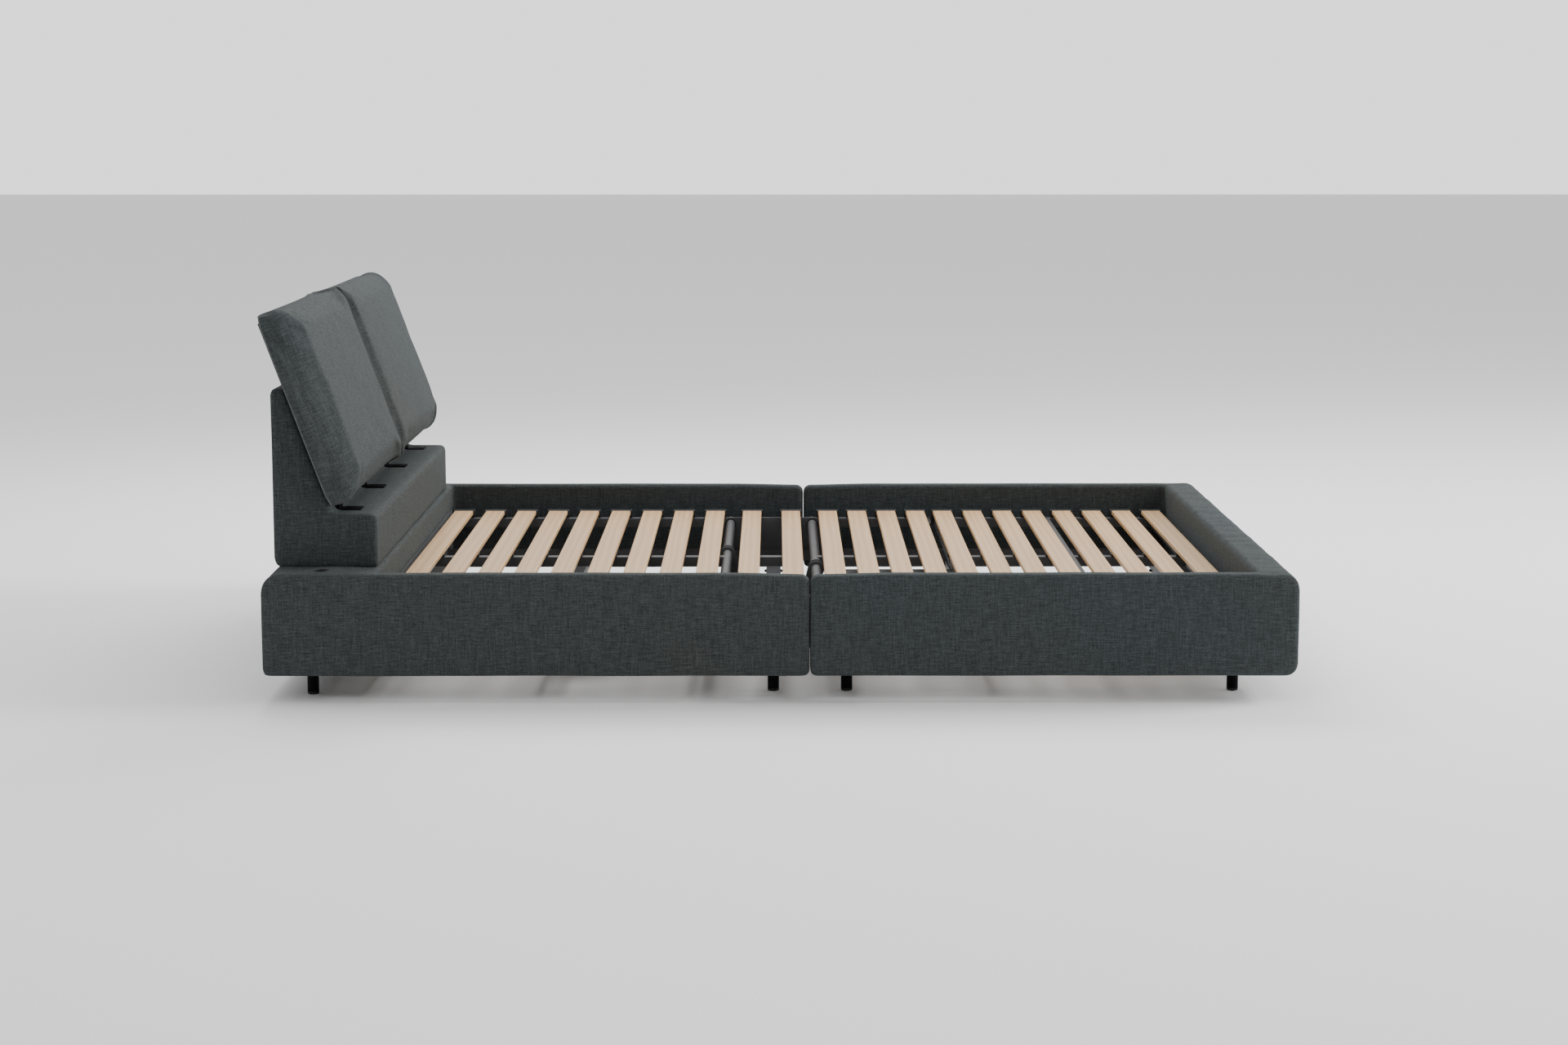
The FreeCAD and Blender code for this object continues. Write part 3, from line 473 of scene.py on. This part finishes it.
def smooth_step(value):
    value = np.clip(value, 0, 1)
    return value * value * (3 - 2 * value)


def noise_at(places):
    """Smooth noise, about -1 to 1, at each (x, y, z)."""
    return np.array([noise.noise(Vector(place)) for place in places])


def finish_piece(piece, body, material, replaced=()):
    """Gives a new piece its fabric, the body it rides on and the CAD nodes that it stands for."""
    piece.data.materials.clear()
    piece.data.materials.append(material)
    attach(piece, body)
    if replaced:
        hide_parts(*replaced)


# ---- upholstered base --------------------------------------------------------------------
VOXEL = 0.006
RIM = 0.009                # soft outer edge of the rails
INNER_RIM = 0.006
PLUMP = 0.0025             # the padding swells past its board by this much
OVERLAP = 0.012            # pieces of one skin run this far into each other
TIGHT = 0.002              # radius of an edge that lies inside the skin
SHELF_RADIUS = 0.010       # edge of the closed top at the well
WELL_LIP = 0.062           # how far the cover turns down into the mattress well
SHELF_END = -0.93          # the head end's closed top stops here
SOCKET_CUT = 0.0172        # radius of the cover's hole round each socket
HEAD_RADII = (0.014, 0.013, 0.018, 0.042)    # low-head, low-foot, top-foot, top-head corners
FOOT_RADII = (0.013, 0.028, 0.036, 0.018)
FOOT_PUCKER = 0.0045       # height of the wrinkles on the foot end's top
PUCKER_INSET = 0.055       # the wrinkles' middle, in from the end
PUCKER_REACH = 0.07
TOP_BAND = 0.05            # depth of the skin's top that sags and wrinkles
SEAM_REACH = 0.22          # the sag fades out this far from the seam
SEAM_DROP = 0.0035
FACE_SWELL = 0.0016        # the long faces bulge by this much
FACE_LINE = 0.79           # skin further out than this belongs to the long faces
SHELF_WAVE = 0.0022        # unevenness of the closed top
BASE_RIPPLE = 0.0009


def rail_outline(low, high, radii):
    """(x, z) outline of a rail, with radii in the order low-head, low-foot, top-foot, top-head."""
    return rounded_outline(((low.x, low.z, radii[0]), (high.x, low.z, radii[1]),
                            (high.x, high.z, radii[2]), (low.x, high.z, radii[3])))


def upholstered_half(name, pads, radii, end_pad, deck_pad=None):
    """Rails and end panel of one half as a single soft skin."""
    bm = bmesh.new()
    for node in pads:
        low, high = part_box(node)
        outer, inner = (high.y, low.y) if high.y > 0 else (low.y, high.y)
        prism(bm, rail_outline(low, high, radii), low.y, high.y, ((outer, RIM), (inner, INNER_RIM)))
    low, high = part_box(end_pad)
    at_head = low.x < 0
    if at_head:
        end_radii = (radii[0], 2 * TIGHT, 2 * TIGHT, radii[3])
    else:
        end_radii = (0.006, radii[1], radii[2], 0.014)
    prism(bm, rail_outline(low, high, end_radii), low.y - OVERLAP, high.y + OVERLAP)
    if deck_pad:
        add_shelf(bm, *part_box(deck_pad))
    piece = object_from(bm, name)
    soft_skin(piece)
    boxes = [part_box(node) for node in (*pads, end_pad)]
    low = np.array([box[0] for box in boxes]).min(0)
    high = np.array([box[1] for box in boxes]).max(0)
    if at_head:
        low[0] -= PLUMP
    else:
        high[0] += PLUMP
    low[2] -= 2 * PLUMP
    high[2] += PLUMP
    fit_to(piece, low, high)
    return piece


def add_shelf(bm, low, high):
    """The closed top at the head end and the cover's lip down into the well."""
    y0, y1 = low.y - OVERLAP, high.y + OVERLAP
    shelf_low = Vector((low.x - OVERLAP, 0, low.z - 0.004))
    prism(bm, rail_outline(shelf_low, high, (TIGHT, TIGHT, SHELF_RADIUS, TIGHT)), y0, y1)
    lip_low = Vector((high.x - 0.010, 0, low.z - WELL_LIP))
    lip_high = Vector((high.x + 0.003, 0, high.z))
    prism(bm, rail_outline(lip_low, lip_high, (TIGHT, 0.003, SHELF_RADIUS, TIGHT)), y0, y1)


def fit_to(piece, low, high):
    """Stretches the piece to fill a box, which undoes the shrinkage from smoothing."""
    points = read_points(piece)
    was_low, was_high = points.min(0), points.max(0)
    write_points(piece, low + (points - was_low) / (was_high - was_low) * (high - low))


def relax_base(piece, seam_x, end_x, pucker):
    """Fabric sags a little at the seam, swells on the long faces and puckers on the end's top."""
    points = read_points(piece)
    normals = read_normals(piece)
    low, high = points.min(0), points.max(0)
    x, y, z = points.T
    near_seam = smooth_step(1 - np.abs(x - seam_x) / SEAM_REACH)
    on_top = smooth_step((z - (high[2] - TOP_BAND)) / TOP_BAND)
    drop = SEAM_DROP * near_seam * on_top
    height = (z - low[2]) / (high[2] - low[2])
    length = np.clip((x - low[0]) / (high[0] - low[0]), 0, 1)
    swell = FACE_SWELL * np.sin(np.pi * np.clip(height, 0, 1)) * np.sin(np.pi * length) ** 0.5
    on_face = (np.abs(normals[:, 1]) > 0.9) & (np.abs(y) > FACE_LINE)
    ripple = noise_at(points * (5.0, 5.0, 9.0))
    moved = points + normals * (BASE_RIPPLE * ripple)[:, None]
    shelf = on_top * smooth_step((SHELF_END - x) / 0.04)
    moved[:, 2] += SHELF_WAVE * shelf * np.sin(y * 23.0 + 2.5 * ripple) * np.cos(x * 30.0)
    moved[:, 1] += np.sign(y) * np.where(on_face, swell, 0)
    if pucker:
        band = smooth_step(1 - np.abs(x - (end_x - PUCKER_INSET)) / PUCKER_REACH) * on_top
        waves = noise_at([(a * 8.0, b * 19.0, 4.0) for a, b, _ in points])
        moved[:, 2] += pucker * waves * band
    moved[:, 2] -= drop
    write_points(piece, moved)


def cylinder_tool(name, centre, radius, low, high):
    bm = bmesh.new()
    bmesh.ops.create_cone(bm, cap_ends=True, segments=40, radius1=radius, radius2=radius,
                          depth=high - low)
    bmesh.ops.translate(bm, vec=(centre[0], centre[1], (low + high) / 2), verts=bm.verts)
    return object_from(bm, name)


def make_base(fabric):
    """Head half and foot half, which meet at the seam."""
    rails = ("head_side_pad_left", "head_side_pad_right")
    head = upholstered_half("head_base_upholstery", rails, HEAD_RADII, "head_end_pad", "head_top_pad")
    low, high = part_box(rails[0])
    relax_base(head, high.x, low.x, 0.0)
    for side in ("left", "right"):
        low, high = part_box("accessory_socket_" + side)
        tool = cylinder_tool("socket_cut", (low + high) / 2, SOCKET_CUT, low.z - 0.01, high.z + 0.02)
        subtract(head, tool)
    finish_piece(head, "base", fabric, (*rails, "head_end_pad", "head_top_pad"))

    rails = ("foot_side_pad_left", "foot_side_pad_right")
    foot = upholstered_half("foot_base_upholstery", rails, FOOT_RADII, "foot_end_pad")
    low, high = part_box(rails[0])
    relax_base(foot, low.x, high.x, FOOT_PUCKER)
    finish_piece(foot, "base", fabric, (*rails, "foot_end_pad"))


# ---- headboard body -------------------------------------------------------------------------
CREST_WIDTH = 0.030        # flat top of the upright body
HEADBOARD_RIM = 0.010
HEADBOARD_RIPPLE = 0.0008


def make_headboard(fabric):
    """One upholstered body: upright back, slanted front and the ledge under the headrests."""
    low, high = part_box("headboard_plinth_pad")
    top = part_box("headboard_pad")[1]
    crest = low.x + CREST_WIDTH
    foot_of_slant = top.x
    corners = ((low.x, low.z, 0.020), (low.x, top.z, 0.010), (crest, top.z, 0.012),
               (foot_of_slant, high.z, 0.015), (high.x, high.z, 0.014), (high.x, low.z, 0.004))
    bm = bmesh.new()
    rims = ((low.y, HEADBOARD_RIM), (high.y, HEADBOARD_RIM))
    prism(bm, rounded_outline(corners), low.y, high.y, rims)
    piece = object_from(bm, "headboard_upholstery")
    soft_skin(piece)
    points = read_points(piece)
    normals = read_normals(piece)
    ripple = noise_at(points * (6.0, 4.0, 6.0))
    write_points(piece, points + normals * (HEADBOARD_RIPPLE * ripple)[:, None])
    finish_piece(piece, "base", fabric, ("headboard_pad", "headboard_plinth_pad"))


# ---- headrest cushions ------------------------------------------------------------------------
RECLINE = math.radians(20)
CUSHION_BACK = 0.0050      # the covered back, in front of the hinge axis
CUSHION_BOTTOM = -0.002
CUSHION_HEIGHT = 0.480
CUSHION_DEPTH = 0.0930
CUSHION_CAP = 0.014        # furthest that the cloth may move
CUSHION_ROUND = 0.048      # soft front edges
CUSHION_INSET = 0.003      # the cut shape is this much smaller, since the cloth swells
CUSHION_CREST = 0.007      # how far the front bows out in its middle
STAPLED_DEPTH = 0.008      # the cover is fixed to its board this far round the back
REAR_CRISPNESS = 0.38      # share of the rounding that the rear edges lose
INNER_CRISPNESS = 0.70     # and the edge at the other cushion
INNER_REACH = 0.12
CUSHION_RIPPLE = 0.0013
TUCK = 0.0009              # small gathers along the side edges
TUCK_REACH = 0.09
WELT_RADIUS = 0.0021
WELT_CORNER = 0.024
CLOTH_FRAMES = 20


def headrest_matrix():
    """From the hinge's own frame (X off the back, Z up the back) to the bed."""
    pivot = Vector(JOINTS["headrest_tilt_left"]["pos_m"])
    return Matrix.Translation(pivot) @ Matrix.Rotation(-RECLINE, 4, "Y")


def inflate(piece):
    """Cloth under pressure, capped, so the cushion crowns between its edges."""
    start = read_points(piece)
    stapled = piece.vertex_groups.new(name="stapled")
    stapled.add([int(i) for i in np.flatnonzero(start[:, 0] < CUSHION_BACK + STAPLED_DEPTH)], 1.0, "REPLACE")
    cloth = piece.modifiers.new("cloth", "CLOTH")
    cloth.settings.vertex_group_mass = "stapled"
    cloth.settings.use_pressure = True
    cloth.settings.uniform_pressure_force = 4.0
    cloth.settings.quality = 5
    cloth.settings.mass = 0.3
    cloth.settings.tension_stiffness = 12
    cloth.settings.compression_stiffness = 12
    cloth.settings.shear_stiffness = 6
    cloth.settings.bending_stiffness = 1.5
    cloth.settings.effector_weights.gravity = 0
    scene = bpy.context.scene
    for number in range(1, CLOTH_FRAMES + 1):
        scene.frame_set(number)
    apply_modifiers(piece)
    moved = read_points(piece) - start
    length = np.linalg.norm(moved, axis=1)
    keep = np.minimum(1, CUSHION_CAP / np.maximum(length, 1e-9))
    write_points(piece, start + moved * keep[:, None])
    scene.frame_set(1)


def cushion_mesh(y0, y1):
    """Left cushion in the hinge's frame: a soft box, tighter along its rear edges."""
    low = np.array((CUSHION_BACK, y0 + CUSHION_INSET, CUSHION_INSET))
    high = np.array((CUSHION_BACK + CUSHION_DEPTH, y1 - CUSHION_INSET, CUSHION_HEIGHT - CUSHION_INSET))
    bm = bmesh.new()
    bmesh.ops.create_cube(bm, size=1.0)
    middle, size = (low + high) / 2, high - low
    for vert in bm.verts:
        vert.co = Vector(middle + np.array(vert.co) * size)
    piece = object_from(bm, "headrest_cushion_left_soft")
    add_remesh(piece)
    apply_modifiers(piece)
    points = read_points(piece)
    core = np.clip(points, low + CUSHION_ROUND, high - CUSHION_ROUND)
    away = points - core
    length = np.maximum(np.linalg.norm(away, axis=1), 1e-9)[:, None]
    soft = core + away / length * np.minimum(length, CUSHION_ROUND)
    rear = smooth_step(1 - (points[:, 0] - low[0]) / (0.55 * CUSHION_DEPTH))[:, None]
    inner = smooth_step(1 - (points[:, 1] - low[1]) / INNER_REACH)[:, None]
    keep = (1 - REAR_CRISPNESS * rear) * (1 - INNER_CRISPNESS * inner)
    points = points + (soft - points) * keep
    write_points(piece, points)
    shade_smooth(piece)
    return piece


def crown(piece, y0, y1):
    """Keeps the back flat on its board, bows the front and lets the fabric ripple a little."""
    points = read_points(piece)
    low, high = points.min(0), points.max(0)
    low[0] = CUSHION_BACK
    full_low = np.array((CUSHION_BACK, y0 + 0.0005, CUSHION_BOTTOM))
    full_high = np.array((CUSHION_BACK + CUSHION_DEPTH, y1 - 0.001, CUSHION_HEIGHT - 0.001))
    points = full_low + (points - low) / (high - low) * (full_high - full_low)
    x, y, z = points.T
    depth = np.clip((x - CUSHION_BACK) / CUSHION_DEPTH, 0, 1)
    across = np.clip((y - y0) / (y1 - y0), 0, 1)
    upward = np.clip(z / CUSHION_HEIGHT, 0, 1)
    dome = (np.sin(np.pi * across) * np.sin(np.pi * upward)) ** 0.6
    points[:, 0] = x + CUSHION_CREST * dome * smooth_step(depth)
    points[:, 0] = np.maximum(points[:, 0], CUSHION_BACK)
    normals = read_normals(piece)
    ripple = noise_at(points * (14.0, 7.0, 9.0))
    near_edge = np.exp(-((np.minimum(across, 1 - across) * (y1 - y0)) / TUCK_REACH) ** 2)
    tucks = noise_at([(b * 6.0, c * 34.0, 2.0) for _, b, c in points])
    lift = CUSHION_RIPPLE * ripple + TUCK * tucks * near_edge
    write_points(piece, points + normals * (lift * smooth_step(depth * 3))[:, None])


def spread(outline, spacing):
    """Closed outline with a point at least every so often."""
    points = []
    for here, after in zip(outline, outline[1:] + outline[:1]):
        count = max(1, math.ceil((after - here).length / spacing))
        points += [here.lerp(after, step / count) for step in range(count)]
    return points


def welt_path(cushion, y0, y1):
    """Points round the cushion's rear edge, on its cover."""
    corners = ((y0, CUSHION_BOTTOM), (y1, CUSHION_BOTTOM), (y1, CUSHION_HEIGHT), (y0, CUSHION_HEIGHT))
    outline = spread(rounded_outline([(y, z, WELT_CORNER) for y, z in corners], 8), 0.006)
    skin = BVHTree.FromPolygons([v.co for v in cushion.data.vertices],
                                [tuple(p.vertices) for p in cushion.data.polygons])
    path = []
    for across, upward in outline:
        path.append(skin.find_nearest(Vector((CUSHION_BACK - 0.002, across, upward)))[0])
    for _ in range(3):
        path = [(a + b * 2 + c) / 4 for a, b, c in zip(path[-1:] + path[:-1], path, path[1:] + path[:1])]
    return path


def closed_tube(name, path, radius):
    """Round tube along a closed path, as a mesh."""
    data = bpy.data.curves.new(name, "CURVE")
    data.dimensions = "3D"
    data.bevel_depth = radius
    data.bevel_resolution = 3
    spline = data.splines.new("POLY")
    spline.points.add(len(path) - 1)
    for point, place in zip(spline.points, path):
        point.co = (*place, 1)
    spline.use_cyclic_u = True
    curve = bpy.data.objects.new(name + "_line", data)
    bpy.context.scene.collection.objects.link(curve)
    graph = bpy.context.evaluated_depsgraph_get()
    mesh = bpy.data.meshes.new_from_object(curve.evaluated_get(graph))
    bpy.data.objects.remove(curve)
    tube = bpy.data.objects.new(name, mesh)
    bpy.context.scene.collection.objects.link(tube)
    shade_smooth(tube)
    return tube


def mirror_across(piece, name):
    """The same piece for the other side."""
    twin = piece.copy()
    twin.data = piece.data.copy()
    twin.name = name
    bpy.context.scene.collection.objects.link(twin)
    points = read_points(twin)
    points[:, 1] *= -1
    write_points(twin, points)
    twin.data.flip_normals()
    return twin


def make_headrests(fabric, welt_painted_highlight_fabric):
    """The left cushion and its welt, and their mirror images; the welt's lighter fabric is a painted
    highlight along the rear edge.
    """
    low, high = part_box("headrest_cushion_left")
    cushion = cushion_mesh(low.y, high.y)
    inflate(cushion)
    crown(cushion, low.y, high.y)
    soften = cushion.modifiers.new("soften", "SMOOTH")
    soften.iterations = 6
    finer = cushion.modifiers.new("finer", "SUBSURF")
    finer.levels = 1
    apply_modifiers(cushion)
    shade_smooth(cushion)
    welt = closed_tube("headrest_welt_left", welt_path(cushion, low.y, high.y), WELT_RADIUS)
    place = headrest_matrix()
    pairs = (("left", cushion, welt),
             ("right", mirror_across(cushion, "headrest_cushion_right_soft"),
              mirror_across(welt, "headrest_welt_right")))
    for side, body, edge in pairs:
        body.matrix_world = place
        edge.matrix_world = place
        finish_piece(body, "headrest_" + side, fabric, ("headrest_cushion_" + side,))
        # The welt gets the lighter fabric, a painted highlight along the rear edge.
        finish_piece(edge, "headrest_" + side, welt_painted_highlight_fabric)


# ---- everything ----------------------------------------------------------------------------------
make_camera()
make_lights()
make_stage()

base_fabric = fabric_material("base_weave", (0.0140, 0.0162, 0.0158), (0.079, 0.087, 0.084),
                              (0.43, 0.50, 0.60))
# Welt fabric: the base weave made two to three times lighter, a painted highlight standing in for light
# catching on the cushions' rear edges.
welt_painted_highlight_fabric = fabric_material("welt_weave_painted_highlight", (0.050, 0.055, 0.053), (0.140, 0.150, 0.144),
                              (0.46, 0.50, 0.53))
lining = lining_material()
slat_wood = wood_material("beech_slats", (0.64, 0.42, 0.21), (0.42, 0.24, 0.10))
board_wood = wood_material("raw_board", (0.60, 0.45, 0.29), (0.42, 0.29, 0.17), grain=1.4)
leg_coat = coated_material("leg_powder_coat", (0.002, 0.002, 0.002), 0.5, 0.15, specular=0.06)
frame_coat = coated_material("frame_powder_coat", (0.060, 0.062, 0.066), 0.5, 0.3)
black_plastic = coated_material("black_plastic", (0.014, 0.014, 0.015), 0.46, 0.4)
housing_plastic = coated_material("housing_plastic", (0.040, 0.041, 0.044), 0.55, 0.5)
lead_rubber = coated_material("lead_rubber", (0.012, 0.012, 0.012), 0.6, 0.2)
zinc = zinc_material()

paint_nodes(slat_wood, "back_slats", "seat_slats", "thigh_slats", "calf_slats")
paint_nodes(board_wood, "head_panel_boards", "foot_panel_boards", "head_top_board",
            "headboard_plinth_frame", "headboard_frame")
paint_nodes(lining, "head_inner_board", "headrest_board_left", "headrest_board_right")
paint_nodes(leg_coat, "legs", "headrest_brackets", "headrest_hinge_leaves_left",
            "headrest_hinge_leaves_right")
paint_nodes(black_plastic, "leg_caps", "accessory_socket_left", "accessory_socket_right", "hinge_bushes",
            "back_slat_holders", "seat_slat_holders", "thigh_slat_holders", "calf_slat_holders",
            "calf_glides", "lead_clips")
paint_nodes(housing_plastic, "back_drive_housing", "foot_drive_housing", "control_box")
paint_nodes(frame_coat, "head_cross_tubes", "foot_cross_tubes", "deck_base_frame", "hinge_plates",
            "seat_frame", "back_frame", "thigh_frame", "calf_frame", "back_torsion_tube",
            "thigh_torsion_tube", "joining_plates")
paint_nodes(zinc, "headboard_bolts", "panel_bolts", "headrest_pins", "knee_pins",
            "back_push_rod", "foot_push_rod", "drive_motors")
paint_nodes(lead_rubber, "drive_leads")

make_base(base_fabric)
make_headboard(base_fabric)
make_headrests(base_fabric, welt_painted_highlight_fabric)
